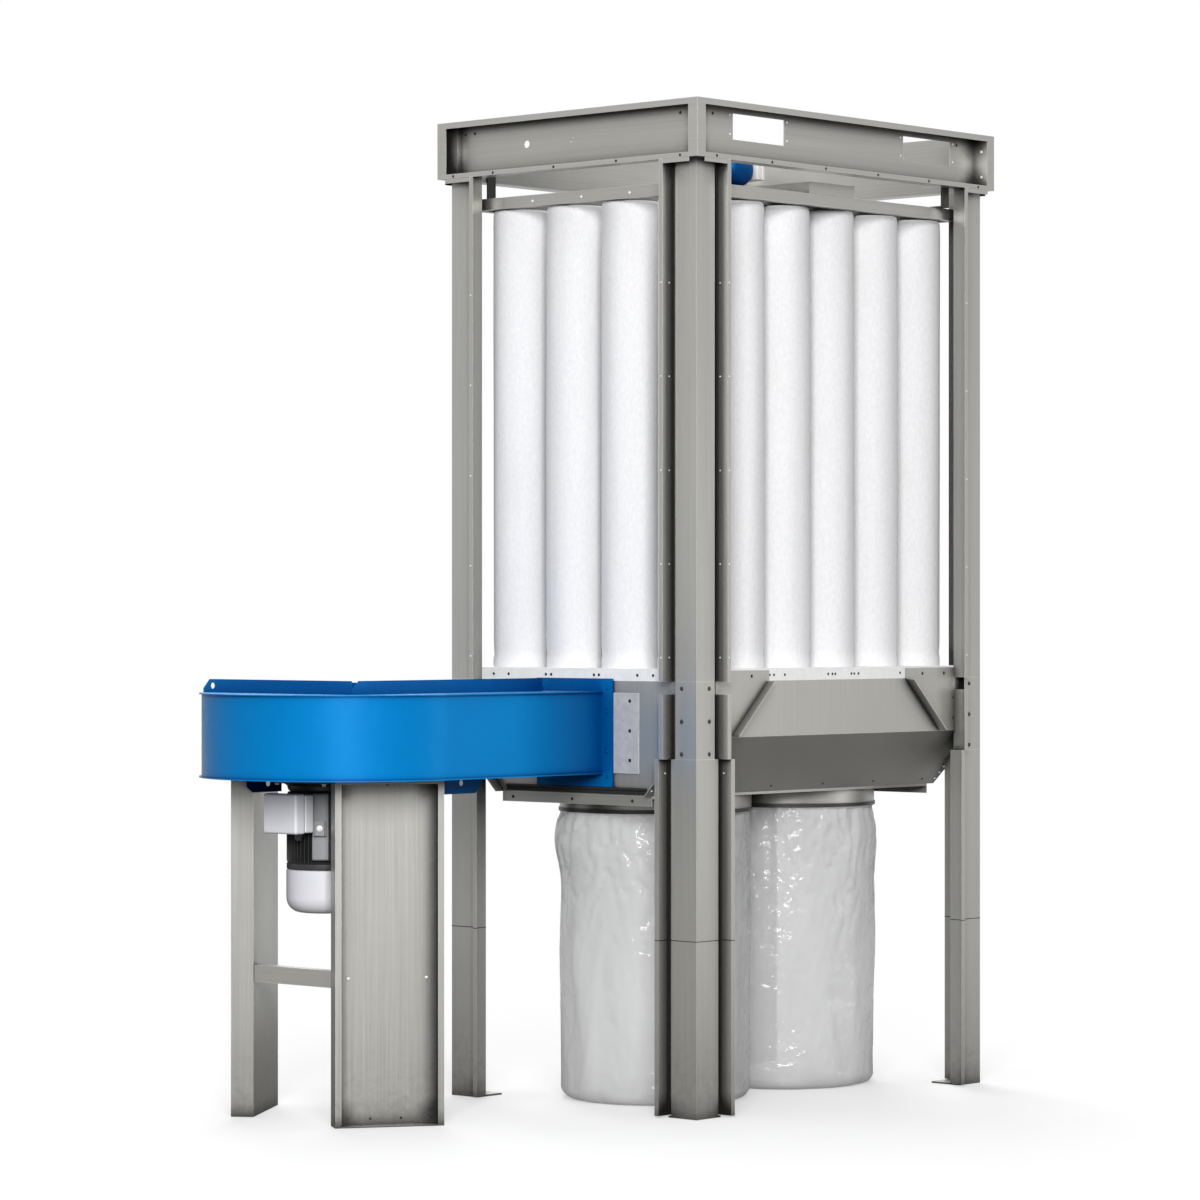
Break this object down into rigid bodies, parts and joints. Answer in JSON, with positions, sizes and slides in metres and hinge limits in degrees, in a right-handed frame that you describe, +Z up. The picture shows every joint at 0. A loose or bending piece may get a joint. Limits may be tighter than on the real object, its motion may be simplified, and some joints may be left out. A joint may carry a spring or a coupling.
{
  "type": "shaker dust collector",
  "caption": "Open-frame shaker dust collector: filter bags over a trough hopper with two film sacks, fed by a blue radial fan on its own stand.",
  "frame": {"origin": "middle of the plan at floor level", "axes": "+Z up, +X from the fan towards the collector, +Y from the front to the rear"},
  "size_m": [2.725, 1.4192, 3.3],
  "materials": {
    "grey_coat": "satin",
    "zinc": "satin",
    "fan_blue": "satin",
    "motor_black": "matte",
    "motor_grey": "satin",
    "dark_steel": "satin",
    "felt": "matte",
    "film": "gloss",
    "white_plastic": "matte"
  },
  "bodies": {
    "root": {"post_front_left": "grey_coat", "post_front_right": "grey_coat", "post_rear_left": "grey_coat", "post_rear_right": "grey_coat", "post_sleeves": "grey_coat", "post_splices": "grey_coat", "hopper_legs": "grey_coat", "leg_extensions": "grey_coat", "top_frame_front": "grey_coat", "top_frame_rear": "grey_coat", "top_frame_left": "grey_coat", "top_frame_right": "grey_coat", "bag_frame": "grey_coat", "shaker_beam": "grey_coat", "hopper_front_wall": "grey_coat", "hopper_rear_wall": "grey_coat", "hopper_end_left": "grey_coat", "hopper_end_right": "grey_coat", "hopper_bottom": "grey_coat", "corner_gussets": "grey_coat", "sack_collars": "grey_coat", "stand_leg_near": "grey_coat", "stand_leg_far": "grey_coat", "stand_cross_bar": "grey_coat", "tube_sheet": "zinc", "inlet_plate": "zinc", "fan_casing": "fan_blue", "fan_top_plate": "fan_blue", "fan_bottom_plate": "fan_blue", "fan_outlet_flange": "fan_blue", "fan_upstands": "fan_blue", "fan_keels": "fan_blue", "shaker_motor": "fan_blue", "motor_body": "motor_black", "motor_cowl": "motor_grey", "motor_terminal_box": "motor_grey", "hangers": "dark_steel", "sack_straps": "dark_steel", "fan_impeller": "dark_steel", "filter_bags_row_1": "felt", "filter_bags_row_2": "felt", "filter_bags_row_3": "felt", "filter_bags_row_4": "felt", "sack_left": "film", "sack_right": "film", "shaker_terminal_box": "white_plastic"}
  },
  "joints": []
}
